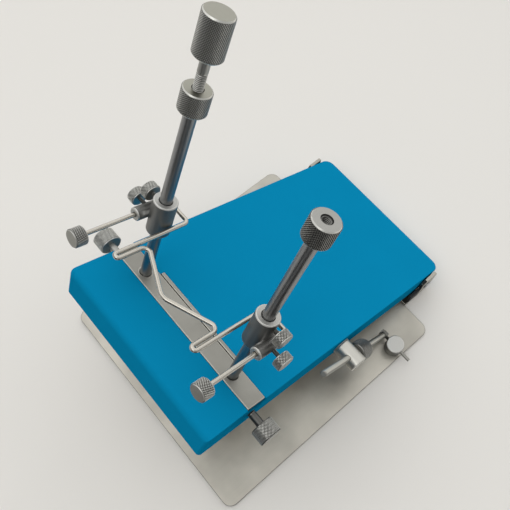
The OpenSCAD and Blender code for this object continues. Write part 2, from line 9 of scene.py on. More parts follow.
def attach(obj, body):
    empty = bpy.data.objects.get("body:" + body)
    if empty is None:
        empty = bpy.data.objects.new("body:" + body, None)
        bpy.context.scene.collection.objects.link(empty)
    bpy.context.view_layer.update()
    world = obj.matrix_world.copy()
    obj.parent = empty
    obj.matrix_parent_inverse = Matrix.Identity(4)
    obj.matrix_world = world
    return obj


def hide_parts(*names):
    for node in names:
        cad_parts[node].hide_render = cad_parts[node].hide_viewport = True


bl_info = {
    "name": "Tilting work holder",
    "version": (1, 0, 0),
    "blender": (4, 5, 0),
    "location": "3D View > Sidebar > Work holder",
    "description": "Dresses a tilting work holder with knurls, threads, soft edges and finishes",
    "category": "Object",
}

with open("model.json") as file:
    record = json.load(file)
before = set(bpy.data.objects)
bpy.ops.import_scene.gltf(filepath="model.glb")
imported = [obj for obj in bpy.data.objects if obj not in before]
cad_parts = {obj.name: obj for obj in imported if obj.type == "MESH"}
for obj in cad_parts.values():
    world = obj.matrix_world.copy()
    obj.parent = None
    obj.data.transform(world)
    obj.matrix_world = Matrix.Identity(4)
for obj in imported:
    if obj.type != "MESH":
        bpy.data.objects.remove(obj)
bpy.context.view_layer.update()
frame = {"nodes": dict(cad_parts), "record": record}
MM = 0.001

# The platform and the stay as the part's source places them, in metres.
TILT = math.radians(25.2)
PLATFORM = (Matrix.Translation((0.141, 0.0, 0.019)) @ Matrix.Rotation(TILT, 4, "Y")
            @ Matrix.Translation((-0.2681, 0.0, 0.0136)))
STAY_ANGLE = math.radians(49.422072)
PIVOT = (0.0805, -0.087, 0.012)
STAY = Matrix.Translation(PIVOT) @ Matrix.Rotation(STAY_ANGLE, 4, "Y")
UPRIGHT, SIDEWARD = Vector((0.0, 0.0, 1.0)), Vector((0.0, 1.0, 0.0))
ALONG, ACROSS = PLATFORM.col[0].to_3d(), PLATFORM.col[2].to_3d()
SIDES = (("left", 1), ("right", -1))

# Places on the platform in millimetres: u along it from its high end, y to the left and
# w up from its top face.
BAR_U, POST_Y = 44.0, 48.6  # posts in the cross bar
TUBE_Y, WIRE_W = 59.0, 57.0  # cross tubes, and the wire's legs in them
KNOB_U = -13.0  # knobs on the wire's ends
END_U, END_W = 42.0, -10.0  # end screws
SCREW_W, LOWER_U = 69.0, 42.5  # upper hand screws, and lower ones
END_HEAD_Y, UPPER_HEAD_Y, LOWER_HEAD_Y = 85.4, 60.3, 68.6
STUD_Y, LOWER_STUD_Y = 52.65, 60.55  # inner ends of the screws
HEAD_LOW, HEAD_H = 143.6, 14.0  # heads on the posts
TOP_STUD_LOW, CAP_LOW, CAP_H = 150.6, 176.6, 23.0
SLOT_LOW, SLOT_HIGH = 35.5, 56.5  # slot for the bar and the strip
FLOOR_W, FLOOR_SCREW_Y = -24.5, 63.0  # underside, and the screws in it
NUT_U, NUT_H = -73.7148, 19.0  # nut, along the stay from its pivot

# Radii in millimetres.
LARGE_KNOB, SMALL_KNOB = 8.5, 6.0
LARGE_STUD, SMALL_STUD = 3.0, 1.5
STUD_ROOM = 0.05  # between a stud and the bore in its head

# How edges are found and broken. Widths are in the panel's edge widths.
SHARP = math.radians(28.0)  # a sharper edge is broken
SMALL_BORE = 12.0 * MM  # a shorter run of edges is a small bore's mouth
SHEET_EDGE, SOFT_EDGE, SUNK_MOUTH = 1.6, 2.4, 2.6
FLAT, FACING, SLOPING = 0.8, 0.6, 0.3  # how far a face looks along an axis
SAME_SPOT = 2e-6

# Shapes of the knurl and the thread.
TOOTH_TALL, TOOTH_FLAT = 1.12, 0.46  # a tooth's height by its width, its top by its foot
THREAD_DEEP, THREAD_CORE, RUN_OUT = 0.55, 0.56, 1.2  # by the pitch

# Dark cards beside the part that only the metal mirrors, standing in for the dark surroundings:
# painted shade in the reflections. Corners in metres, and how grey each is.
CARDS = (
    ("grey_card", [(x, y, 0.0004) for x, y in (
        (-3.0, -3.0), (-0.19, -3.0), (-0.19, 0.02), (-0.75, 0.02), (-0.75, 3.0), (-3.0, 3.0))],
     0.30),
    ("dark_card", [(x, y, 0.0008) for x, y in (
        (-0.93, -0.61), (-0.46, -1.09), (-0.10, -0.16), (-0.12, -0.02))], 0.02),
    ("upright_card", [(-0.45, y, z) for y, z in (
        (-0.16, 0.002), (0.06, 0.002), (0.06, 0.36), (-0.16, 0.36))], 0.02),
)


def linear(red, green, blue):
    """A colour as it looks on a screen, 0 to 255, in the values that a shader takes."""
    def one(level):
        level /= 255.0
        return level / 12.92 if level <= 0.04045 else ((level + 0.055) / 1.055) ** 2.4
    return (one(red), one(green), one(blue))


class HolderSizes(bpy.types.PropertyGroup):
    knurl_pitch: bpy.props.FloatProperty(
        name="Knurl pitch", description="Width of one diamond of the knurl, around the knob",
        default=1.25 * MM, min=0.5 * MM, max=3 * MM, precision=5, unit="LENGTH")
    knurl_depth: bpy.props.FloatProperty(
        name="Knurl depth", description="Depth of the grooves between the diamonds",
        default=0.32 * MM, min=0.05 * MM, max=1 * MM, precision=5, unit="LENGTH")
    large_pitch: bpy.props.FloatProperty(
        name="Large thread pitch",
        description="Pitch of the thread on the top stud and the end screws",
        default=1.0 * MM, min=0.5 * MM, max=2 * MM, precision=5, unit="LENGTH")
    small_pitch: bpy.props.FloatProperty(
        name="Small thread pitch", description="Pitch of the thread on the small screws",
        default=0.5 * MM, min=0.3 * MM, max=1 * MM, precision=5, unit="LENGTH")
    wire: bpy.props.FloatProperty(
        name="Wire diameter", description="Diameter of the bent wire bar",
        default=3.0 * MM, min=1 * MM, max=5 * MM, precision=5, unit="LENGTH")
    edge: bpy.props.FloatProperty(
        name="Edge softness", description="Width of the broken edges on the metal pieces",
        default=0.25 * MM, min=0.05 * MM, max=1 * MM, precision=5, unit="LENGTH")


class HolderColours(bpy.types.PropertyGroup):
    paint: bpy.props.FloatVectorProperty(
        name="Paint", description="Blue paint of the platform",
        subtype="COLOR", default=linear(8, 128, 172))
    sheet: bpy.props.FloatVectorProperty(
        name="Sheet steel", description="Base plate, hinge bracket and floor sheet",
        subtype="COLOR", default=linear(176, 173, 164))
    bar: bpy.props.FloatVectorProperty(
        name="Ground bar", description="Cross bar and filler strip",
        subtype="COLOR", default=linear(150, 149, 143))
    rod: bpy.props.FloatVectorProperty(
        name="Polished rod", description="Posts and hinge pins",
        subtype="COLOR", default=linear(158, 159, 160))
    turned: bpy.props.FloatVectorProperty(
        name="Turned steel", description="Sleeves, pillar, screws, and the stay's washer and ring",
        subtype="COLOR", default=linear(166, 166, 163))
    knurled: bpy.props.FloatVectorProperty(
        name="Knurled steel", description="Knobs, heads, nut and threaded studs",
        subtype="COLOR", default=linear(172, 172, 168))
    wire: bpy.props.FloatVectorProperty(
        name="Drawn wire", description="Bent wire bar",
        subtype="COLOR", default=linear(196, 192, 183))
    bright: bpy.props.FloatVectorProperty(
        name="Bright steel", description="The stay's rod, block and pin",
        subtype="COLOR", default=linear(212, 211, 204))
    black: bpy.props.FloatVectorProperty(
        name="Black", description="Rubber pads and hinge washers",
        subtype="COLOR", default=linear(30, 31, 33))


class HolderStage(bpy.types.PropertyGroup):
    floor: bpy.props.FloatVectorProperty(
        name="Floor", description="Colour of the floor",
        subtype="COLOR", default=linear(224, 222, 218))
    key: bpy.props.FloatProperty(
        name="Key light", description="Power of the large light overhead",
        default=3.0, min=0.0, unit="POWER")
    fill: bpy.props.FloatProperty(
        name="Room light", description="Strength of the light from the room",
        default=0.8, min=0.0)
    backdrop: bpy.props.FloatProperty(
        name="Backdrop", description="Level of the plain background behind the floor",
        default=0.76, min=0.0)
    lens: bpy.props.FloatProperty(
        name="Lens", description="Focal length of the camera",
        default=40.42, min=10.0, max=200.0, subtype="DISTANCE_CAMERA")


class Port:
    """A node's output that Python operators work on: each adds a Math node."""

    def __init__(self, net, socket):
        self.net = net
        self.socket = socket

    def maths(self, operation, *values):
        values = dict(enumerate(values))
        return self.net.node("ShaderNodeMath", {"operation": operation}, values)["Value"]

    def at_least(self, low):
        return self.maths("MAXIMUM", self, low)

    def at_most(self, high):
        return self.maths("MINIMUM", self, high)

    def __add__(self, other):
        return self.maths("ADD", self, other)

    def __radd__(self, other):
        return self.maths("ADD", other, self)

    def __sub__(self, other):
        return self.maths("SUBTRACT", self, other)

    def __rsub__(self, other):
        return self.maths("SUBTRACT", other, self)

    def __mul__(self, other):
        return self.maths("MULTIPLY", self, other)

    def __rmul__(self, other):
        return self.maths("MULTIPLY", other, self)

    def __truediv__(self, other):
        return self.maths("DIVIDE", self, other)

    def __rtruediv__(self, other):
        return self.maths("DIVIDE", other, self)

    def __mod__(self, other):
        return self.maths("FLOORED_MODULO", self, other)

    def __rmod__(self, other):
        return self.maths("FLOORED_MODULO", other, self)


class Made:
    """A node that was added, with its outputs by name or number."""

    def __init__(self, net, node):
        self.net = net
        self.bare = node

    def __getitem__(self, key):
        return Port(self.net, self.bare.outputs[key])


class Net:
    """A node tree that is written as expressions."""

    def __init__(self, tree):
        self.tree = tree

    def node(self, kind, settings=None, sockets=None):
        """Adds a node: its settings first, then the values or links of its sockets."""
        made = self.tree.nodes.new(kind)
        for key, value in (settings or {}).items():
            setattr(made, key, value)
        for key, value in (sockets or {}).items():
            for one in value if isinstance(value, list) else [value]:
                if isinstance(one, Port):
                    self.tree.links.new(one.socket, made.inputs[key])
                else:
                    made.inputs[key].default_value = one
        return Made(self, made)

    def vector(self, x=0.0, y=0.0, z=0.0):
        """Three values as one vector."""
        return self.node("ShaderNodeCombineXYZ", None, {"X": x, "Y": y, "Z": z})["Vector"]

    def ease(self, value, start, full, low, high):
        """Takes a value smoothly from low, at start, to high, at full."""
        return self.node("ShaderNodeMapRange", {"interpolation_type": "SMOOTHSTEP"}, {
            "Value": value, "From Min": start, "From Max": full,
            "To Min": low, "To Max": high})["Result"]

    def tint(self, factor, low, high):
        """Two colours, mixed by a factor."""
        return self.node("ShaderNodeMix", {"data_type": "RGBA"}, {0: factor, 6: low, 7: high})[2]

    def noise(self, place, scale, detail=2.0, roughness=0.5, seed=0.0):
        """A cloudy value from 0 to 1."""
        return self.node("ShaderNodeTexNoise", {"noise_dimensions": "4D"}, {
            "Vector": place, "W": seed, "Scale": scale, "Detail": detail,
            "Roughness": roughness})["Fac"]

    def mark(self, name):
        """A mark that a piece's mesh carries.

        "end" is 1 on ends, 0 on sides and -1 in holes: the finishes paint ends a tone of their own
        and sides darker as painted light, and holes near black as painted shade. The edge mark is 1
        on broken edges, for a painted highlight, and -1 on sunk bore mouths, for painted shade.
        "crest" is
        1 on the crests of a knurl or thread, 0 in its grooves: a painted highlight and painted
        shade.
        """
        return self.node("ShaderNodeAttribute", {"attribute_name": name})["Fac"]

    def turned_place(self, place, turn, scale):
        """Object coordinates turned and stretched to follow a piece."""
        return self.node("ShaderNodeMapping", None, {
            "Vector": place, "Rotation": turn, "Scale": scale})["Vector"]

    def relief(self, height, strength, distance):
        """The normal of a surface with a fine relief."""
        return self.node("ShaderNodeBump", None, {
            "Strength": strength, "Distance": distance, "Height": height})["Normal"]


def shade(colour, factor):
    """A colour made darker or lighter, as a socket takes it."""
    return (colour[0] * factor, colour[1] * factor, colour[2] * factor, 1.0)


def fresh_material(name):
    """An empty material with its net and its object coordinates."""
    material = bpy.data.materials.new(name)
    material.use_nodes = True
    material.node_tree.nodes.clear()
    net = Net(material.node_tree)
    place = net.node("ShaderNodeTexCoord")["Object"]
    return material, net, place


def close_material(net, sockets):
    """Ends a material in one Principled shader."""
    surface = net.node("ShaderNodeBsdfPrincipled", None, sockets)
    net.node("ShaderNodeOutputMaterial", None, {"Surface": surface["BSDF"]})


def painted_blue(colour):
    """Sprayed satin paint: a faint orange peel, and patches that are a little lighter."""
    material, net, place = fresh_material("blue_paint")
    patch = net.noise(place, scale=22.0, detail=3.0)
    peel = net.noise(place, scale=950.0)
    dust = net.noise(place, scale=4200.0, detail=1.0)
    close_material(net, {
        "Base Color": net.tint(0.25 + 0.5 * patch, shade(colour, 0.93), shade(colour, 1.07)),
        "Roughness": 0.40 + 0.12 * patch + 0.06 * dust,
        "IOR": 1.48,
        "Specular IOR Level": 0.0,
        "Normal": net.relief(peel + 0.3 * dust, strength=0.10, distance=0.12 * MM),
    })
    return material


def sheet_steel(name, colour, turn, rough, rim, metal=1.0):
    """Satin sheet: grinding lines one way, cloudy gloss and tone, and handling marks.

    The cloud's light and dark patches are placed to fall where reflections and shade lie: partly
    mottled tone, partly painted reflection and painted shade. Side faces are painted dark: a dull
    sheared edge with painted shade. Broken edges are painted by the rim factor: a painted
    highlight above 1, a painted dark line below 1.
    """
    material, net, place = fresh_material(name)
    lines = net.noise(net.turned_place(place, turn, (35.0, 2600.0, 2600.0)), scale=1.0, detail=3.0)
    # The seed places the cloud's light and dark patches where reflections and shade lie: partly
    # painted reflection and painted shade.
    cloud = net.noise(place, scale=24.0, detail=3.0, seed=4.0)
    marks = net.noise(place, scale=150.0, detail=4.0, roughness=0.7)
    face = net.tint(0.3 * lines + 2.2 * cloud - 0.75, shade(colour, 0.74), shade(colour, 1.22))
    # Side faces painted dark: a dull sheared edge with painted shade.
    sides = net.tint(net.mark("end"), shade(colour, 0.16), face)
    close_material(net, {
        # Broken edges painted by the rim factor: a painted highlight above 1, a painted dark line
        # below 1.
        "Base Color": net.tint(net.mark("edge_light_and_shade"), sides, shade(colour, rim)),
        "Metallic": metal,
        "Roughness": rough + 0.14 * cloud + 0.10 * marks + 0.06 * lines,
        "Normal": net.relief(lines + 0.4 * marks, strength=0.10, distance=0.05 * MM),
    })
    return material


def rod_steel(name, colour, turn, rough, along=False, side_shade=1.0, end_light=1.15, rim=1.6, shadow_pivot=None):
    """Round stock: lines round it or along it, and slight stains.

    The sides can be painted darker and the ends a tone of their own: painted light. Broken edges
    get a painted highlight and sunk bore mouths painted shade. Where a pivot is given, the metal
    close to it is painted dark: a painted shadow in the gap at the pivot.
    """
    material, net, place = fresh_material(name)
    stretch = (2400.0, 2400.0, 40.0) if along else (30.0, 30.0, 4200.0)
    lines = net.noise(net.turned_place(place, turn, stretch), scale=1.0)
    stain = net.noise(place, scale=70.0, detail=3.0)
    # Lines and stains are the metal's own; the factor that darkens the sides is painted shade.
    side = net.tint(0.5 * lines + 0.5 * stain,
                    shade(colour, 0.80 * side_shade), shade(colour, 1.08 * side_shade))
    # Ends painted a tone of their own: painted light.
    body = net.tint(net.mark("end"), side, shade(colour, end_light))
    edge_light_and_shade = net.mark("edge_light_and_shade")
    # Sunk bore mouths painted dark, painted shade; broken edges painted lighter, a painted
    # highlight.
    sunk = net.tint((-1.0 * edge_light_and_shade).at_least(0.0), body, shade(colour, 0.15))
    coat = net.tint(edge_light_and_shade.at_least(0.0), sunk, shade(colour, rim))
    # Painted shadow: the metal close to the pivot is painted dark.
    if shadow_pivot:
        far = net.node("ShaderNodeVectorMath", {"operation": "DISTANCE"}, {0: place, 1: shadow_pivot})
        near = net.ease(far["Value"], 7.0 * MM, 4.5 * MM, 0.0, 1.0)
        coat = net.tint(near, coat, shade(colour, 0.32))
    close_material(net, {
        "Base Color": coat,
        "Metallic": 1.0,
        "Roughness": rough + 0.10 * stain + 0.08 * lines,
        "Normal": net.relief(lines, strength=0.08, distance=0.04 * MM),
    })
    return material


def knurled_steel(name, colour, rough, groove=0.07, crown=1.75, rim=1.25,
                  end_light=(0.88, 0.88, 0.88)):
    """Cut metal with painted light: crests painted brighter than the metal, a painted highlight;
    grooves and holes painted near black, painted shade; ends and rims painted tones of their own.
    """
    material, net, place = fresh_material(name)
    crest = net.mark("crest")
    grain = net.noise(place, scale=2600.0)
    stain = net.noise(place, scale=120.0, detail=3.0)
    end = net.mark("end")
    # Painted highlight on the crests and painted shade in the grooves, with real stains.
    cut = net.tint(crest * crest * (0.8 + 0.4 * stain), shade(colour, groove), shade(colour, crown))
    # Ends painted a tone of their own: painted light.
    face = tuple(level * part for level, part in zip(colour, end_light)) + (1.0,)
    outside = net.tint(end.at_least(0.0), cut, face)
    # Rims painted by the rim factor: a painted highlight above 1, painted shade below 1.
    rimmed = net.tint(net.mark("edge_light_and_shade"), outside, shade(colour, rim))
    close_material(net, {
        # Holes painted near black: painted shade.
        "Base Color": net.tint((-1.0 * end).at_least(0.0), rimmed, shade(colour, 0.08)),
        "Metallic": 1.0,
        "Roughness": rough + 0.16 - 0.16 * crest + 0.12 * stain,
        "Normal": net.relief(grain, strength=0.08, distance=0.04 * MM),
    })
    return material


def black_stuff(name, colour, rough, grit):
    """Dull black rubber or plastic with a fine moulded grit."""
    material, net, place = fresh_material(name)
    fine = net.noise(place, scale=grit, detail=3.0)
    dust = net.noise(place, scale=240.0, detail=4.0)
    close_material(net, {
        "Base Color": net.tint(dust, shade(colour, 0.7), shade(colour, 1.5)),
        "Roughness": rough + 0.12 * dust,
        "Normal": net.relief(fine, strength=0.2, distance=0.08 * MM),
    })
    return material


FINISHES = {}


def make_finishes(colours):
    """All the finishes, by the record's slots, and by node where a piece has its own."""
    level, on_side = (0.0, 0.0, 0.0), (math.pi / 2, 0.0, 0.0)
    along_platform = (0.0, -TILT, 0.0)
    FINISHES.update({
        "blue_paint": painted_blue(colours.paint),
        # Broken edges: painted darker on the plate, a painted dark line, and lighter on the bar, a
        # painted highlight.
        "satin_steel": sheet_steel(
            "satin_steel", colours.sheet, level, rough=0.18, rim=0.5, metal=0.7),
        "floor_sheet": sheet_steel(
            "zinc_sheet", colours.sheet, along_platform, rough=0.5, rim=1.0, metal=0.3),
        "bracket_steel": sheet_steel(
            "bracket_steel", colours.sheet, (0.0, 0.0, math.pi / 2), rough=0.34, rim=1.0),
        "bar_steel": sheet_steel(
            "bar_steel", colours.bar, (0.0, -TILT, math.pi / 2), rough=0.36, rim=1.7),
        # Posts and sleeves: sides painted darker than their metal, painted shade.
        "polished_steel": rod_steel(
            "polished_steel", colours.rod, along_platform, rough=0.24, along=True, side_shade=0.86),
        "turned_steel": rod_steel(
            "turned_steel", colours.turned, along_platform, rough=0.38, side_shade=0.60),
        "wire_steel": rod_steel("wire_steel", colours.wire, along_platform, rough=0.15),
        "pin_steel": rod_steel("pin_steel", colours.rod, on_side, rough=0.26),
        # The stay's pieces and the pillar: sides painted darker and ends their own tone, painted
        # light; the rod painted dark near its pivot, a painted shadow.
        "stay_rod": rod_steel(
            "bright_rod", colours.bright, (0.0, -STAY_ANGLE, 0.0), rough=0.40, along=True,
            side_shade=0.95, end_light=0.5, rim=0.45, shadow_pivot=PIVOT),
        "stay_block": rod_steel(
            "bright_bar", colours.bright, on_side, rough=0.26, side_shade=0.80, end_light=0.8, rim=1.0),
        "stay_pin": rod_steel(
            "bright_pin", colours.bright, on_side, rough=0.3, side_shade=0.45, end_light=0.5, rim=0.5),
        "stay_pillar": rod_steel(
            "pillar_steel", colours.turned, level, rough=0.34, side_shade=0.42, end_light=1.2),
        "screw_steel": knurled_steel("screw_steel", colours.turned, rough=0.32),
        # The nut: a darker copy of the knurled steel, painted shade under the platform.
        "stay_nut": knurled_steel("nut_steel", shade(colours.knurled, 0.5), rough=0.30),
        "black_plastic": black_stuff("black_plastic", colours.black, rough=0.46, grit=1800.0),
        "black_rubber": black_stuff("black_rubber", colours.black, rough=0.62, grit=900.0),
    })
    # Warm ends and bright rims: a painted warm reflection and painted highlight; the dim set paints
    # ends darker and rims less bright.
    warm_painted_light = {"rim": 1.8, "end_light": (0.82, 0.81, 0.74)}
    dim_painted_light = {"rim": 1.1, "end_light": (0.72, 0.72, 0.70)}
    for key, name, rough, groove, crown, rims in (
            # Each row sets a knob's painted highlight on the crests, painted shade in the grooves,
            # and painted ends and rims.
            ("knurled_steel", "knurled_steel", 0.30, 0.07, 1.75, {}),
            ("thread_steel", "thread_steel", 0.26, 0.18, 1.6, {}),
            ("top_cap", "warm_lit_knurl", 0.32, 0.38, 1.12, warm_painted_light),
            ("left_head", "warm_lit_knurl", 0.32, 0.34, 1.1, warm_painted_light),
            ("left_knob", "dimmed_knurl", 0.30, 0.04, 1.5, dim_painted_light),
            ("left_end_head", "bright_lit_knurl", 0.34, 0.30, 1.95, {}),
            ("left_upper_head", "bright_lit_knurl", 0.34, 0.14, 2.0, {}),
            ("left_lower_head", "bright_lit_knurl", 0.34, 0.14, 2.0, {}),
            # This head's rims are painted dark: painted shade.
            ("right_end_head", "edged_knurl", 0.30, 0.10, 1.75, {"rim": 0.25}),
            # A darker copy of the thread: painted shade on the neck in the bar's shadow.
            ("right_end_stud", "shaded_thread", 0.26, 0.05, 0.5, {}),
            ("right_head", "dark_knurl", 0.32, 0.03, 0.75, {"rim": 1.9})):
        FINISHES[key] = knurled_steel(name, colours.knurled, rough, groove, crown, **rims)


SLOTS = {part["node"]: part["material_slot"] for part in frame["record"]["subparts"]}
BODIES = {node: body for body, nodes in frame["record"]["behaviour"]["bodies"].items()
          for node in nodes}


def finish_of(node):
    """The finish of a node: its own, or that of its slot."""
    return FINISHES.get(node, FINISHES[SLOTS[node]])


def show(mesh, node):
    """A finished mesh as the piece that stands for a node."""
    piece = bpy.data.objects.new(node + "_dressed", mesh)
    bpy.context.scene.collection.objects.link(piece)
    if not mesh.materials:
        mesh.materials.append(finish_of(node))
    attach(piece, BODIES[node])
    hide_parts(node)
    return piece


def store(mesh, name, domain, values):
    """Stores a mark on each face or point of a mesh."""
    mesh.attributes.new(name, "FLOAT", domain).data.foreach_set("value", values)


def mark_ends(mesh, axes):
    """Marks a piece's ends, which the finishes paint a tone of their own as painted light: faces
    across one of the axes, at either end along it.
    """
    values = [0.0] * len(mesh.polygons)
    for axis in axes:
        heights = [vertex.co.dot(axis) for vertex in mesh.vertices]
        low, high = min(heights), max(heights)
        for face in mesh.polygons:
            height = face.center.dot(axis)
            if abs(face.normal.dot(axis)) > FACING and min(height - low, high - height) < MM:
                values[face.index] = 1.0
    store(mesh, "end", "FACE", values)


def runs_of(edges):
    """Splits edges into runs that join end to end."""
    left = dict.fromkeys(edges)
    runs = []
    while left:
        run = [next(iter(left))]
        del left[run[0]]
        for edge in run:
            near = [other for corner in edge.verts for other in corner.link_edges if other in left]
            for other in dict.fromkeys(near):
                del left[other]
                run.append(other)
        runs.append(run)
    return runs


def soften(node, width, segments=2, axes=(), mouth=0.0, spared=None):
    """The node's own shape with broken edges that catch the light.

    Small bores are sunk at the mouth where a mouth is given, and edges with both ends in
    what is spared stay sharp.
    """
    mesh = frame["nodes"][node].data.copy()
    mesh.materials.clear()
    form = bmesh.new()
    form.from_mesh(mesh)
    bmesh.ops.remove_doubles(form, verts=form.verts, dist=SAME_SPOT)
    bmesh.ops.dissolve_limit(form, angle_limit=math.radians(0.4),
                             verts=form.verts, edges=form.edges)
    sharp = [edge for edge in form.edges
             if edge.is_manifold and edge.is_convex and edge.calc_face_angle() > SHARP
             and not (spared and all(spared(end.co) for end in edge.verts))]
    edge_light_and_shade = form.faces.layers.float.new("edge_light_and_shade")
    for run in runs_of(sharp):
        run = [edge for edge in run if edge.is_valid]
        sunk = mouth and sum(edge.calc_length() for edge in run) < SMALL_BORE
        rims = bmesh.ops.bevel(
            form, geom=run, offset=mouth if sunk else width, offset_type="OFFSET",
            segments=segments, profile=0.5, affect="EDGES", clamp_overlap=True)["faces"]
        # Broken edges are marked for a painted highlight, sunk bore mouths for painted shade.
        for face in rims:
            face[edge_light_and_shade] = -1.0 if sunk else 1.0
    form.to_mesh(mesh)
    form.free()
    mesh.shade_smooth()
    mark_ends(mesh, axes)
    flats = show(mesh, node).modifiers.new("Flat faces", "WEIGHTED_NORMAL")
    flats.mode = "FACE_AREA"
    flats.weight = 100


def lathe(profile, segments=96, hollow=True, crest=0.8):
    """A closed turned mesh from (radius, height) points in millimetres.

    The outline starts and ends on the axis, or in one place where a bore runs through.
    """
    form = bmesh.new()
    circle = [2 * math.pi * i / segments for i in range(segments)]
    rings = []
    for radius, height in profile:
        rings.append([form.verts.new((radius * MM * math.cos(angle), radius * MM * math.sin(angle),
                                      height * MM)) for angle in (circle if radius else [0.0])])
    for low, high in zip(rings, rings[1:]):
        for i in range(segments):
            j = (i + 1) % segments
            corners = [low[i % len(low)], low[j % len(low)],
                       high[j % len(high)], high[i % len(high)]]
            form.faces.new(list(dict.fromkeys(corners)))
    bmesh.ops.recalc_face_normals(form, faces=form.faces)
    mesh = bpy.data.meshes.new("turned")
    form.to_mesh(mesh)
    form.free()
    mesh.shade_smooth()
    mesh.set_sharp_from_angle(angle=math.radians(24))
    heights = [height * MM for _, height in profile]
    bottom, top = min(heights), max(heights)
    ends, rims = [], []
    for face in mesh.polygons:
        x, y, z = face.center
        near = min(z - bottom, top - z) < 0.7 * MM
        flat = abs(face.normal.z) > FLAT
        inward = face.normal.x * x + face.normal.y * y < -1e-9
        hole = hollow and (inward or flat and not near)
        # Holes marked for painted shade, near black; ends for their painted tone.
        ends.append(-1.0 if hole else 1.0 if flat and near else 0.0)
        # Sloping rims marked for a painted highlight.
        rims.append(1.0 if SLOPING < abs(face.normal.z) < FLAT else 0.0)
    # The plain body takes one crest level, which sets its painted tone.
    store(mesh, "crest", "POINT", [crest] * len(mesh.vertices))
    store(mesh, "end", "FACE", ends)
    store(mesh, "edge_light_and_shade", "FACE", rims)
    return mesh


def new_tree(name, **inputs):
    """An empty Geometry Nodes tree with inputs named by kind, its net and its group input."""
    tree = bpy.data.node_groups.new(name, "GeometryNodeTree")
    tree.interface.new_socket("Geometry", in_out="INPUT", socket_type="NodeSocketGeometry")
    for kind, labels in inputs.items():
        for label in labels.split(", "):
            tree.interface.new_socket(label, in_out="INPUT", socket_type="NodeSocket" + kind)
    tree.interface.new_socket("Geometry", in_out="OUTPUT", socket_type="NodeSocketGeometry")
    net = Net(tree)
    return tree, net, net.node("NodeGroupInput")


def close_tree(net, given, shapes):
    """Joins what a tree made with what it was given, as plain mesh in one finish."""
    joined = net.node("GeometryNodeJoinGeometry", None, {"Geometry": shapes})["Geometry"]
    plain = net.node("GeometryNodeRealizeInstances", None, {"Geometry": joined})["Geometry"]
    coated = net.node("GeometryNodeSetMaterial", None, {
        "Geometry": plain, "Material": given["Material"]})
    net.node("NodeGroupOutput", None, {"Geometry": coated["Geometry"]})


def crest_mark(net, shape, value):
    """Marks how far each point of a shape stands out, which the finishes paint as a highlight on
    crests and as shade in grooves.
    """
    return net.node("GeometryNodeStoreNamedAttribute", {"data_type": "FLOAT", "domain": "POINT"}, {
        "Geometry": shape, "Name": "crest", "Value": value})["Geometry"]


def wrap(net, shape, radius, angle, height):
    """Bends flat geometry round the Z axis."""
    spot = net.vector(radius * angle.maths("COSINE", angle), radius * angle.maths("SINE", angle),
                      height)
    bent = net.node("GeometryNodeSetPosition", None, {"Geometry": shape, "Position": spot})
    return net.node("GeometryNodeMergeByDistance", None, {
        "Geometry": bent["Geometry"], "Distance": SAME_SPOT})["Geometry"]


def crisp(net, shape):
    """Leaves the cut faces flat, with crisp edges."""
    return net.node("GeometryNodeSetShadeSmooth", {"domain": "FACE"}, {
        "Geometry": shape, "Shade Smooth": False})["Geometry"]


def knurl_tree():
    """Diamond teeth: four-sided stubs on a staggered lattice, bent round the knob."""
    tree, net, given = new_tree(
        "Diamond knurl", Float="Radius, Start, Length, Depth, Flat", Int="Around, Rows",
        Material="Material")
    half_wide = math.pi * given["Radius"] / given["Around"]
    half_high = given["Length"] / given["Rows"]
    half_long = 0.5 * given["Length"]
    lattice = net.node("GeometryNodeMeshGrid", None, {
        "Size X": 2.0 * half_wide * (given["Around"] - 1.0), "Size Y": given["Length"],
        "Vertices X": given["Around"], "Vertices Y": given["Rows"] + 1.0})["Mesh"]
    spot = net.node("ShaderNodeSeparateXYZ", None, {
        "Vector": net.node("GeometryNodeInputPosition")["Position"]})
    row = spot["Y"].maths("ROUND", (spot["Y"] + half_long) / half_high)
    staggered = net.node("GeometryNodeSetPosition", None, {
        "Geometry": lattice, "Offset": net.vector(half_wide * (row % 2.0))})["Geometry"]
    stub = net.node("GeometryNodeMeshCone", {"fill_type": "NGON"}, {
        "Vertices": 4, "Radius Top": given["Flat"], "Radius Bottom": 1.0, "Depth": 1.0})
    tooth = net.node("GeometryNodeDeleteGeometry", {"domain": "FACE", "mode": "ONLY_FACE"}, {
        "Geometry": stub["Mesh"], "Selection": stub["Bottom"]})["Geometry"]
    teeth = net.node("GeometryNodeInstanceOnPoints", None, {
        "Points": staggered, "Instance": tooth,
        "Scale": net.vector(half_wide, half_high, given["Depth"])})["Instances"]
    plain = net.node("GeometryNodeRealizeInstances", None, {"Geometry": teeth})["Geometry"]
    # Tooth tops get a painted highlight, tooth feet painted shade.
    marked = crest_mark(net, plain, spot["Z"] / given["Depth"])
    kept = spot["Y"].at_most(half_long).at_least(-1.0 * half_long)
    bent = wrap(net, marked, given["Radius"] - given["Depth"] + spot["Z"],
                spot["X"] / given["Radius"], kept + half_long + given["Start"])
    close_tree(net, given, [given["Geometry"], crisp(net, bent)])
    return tree


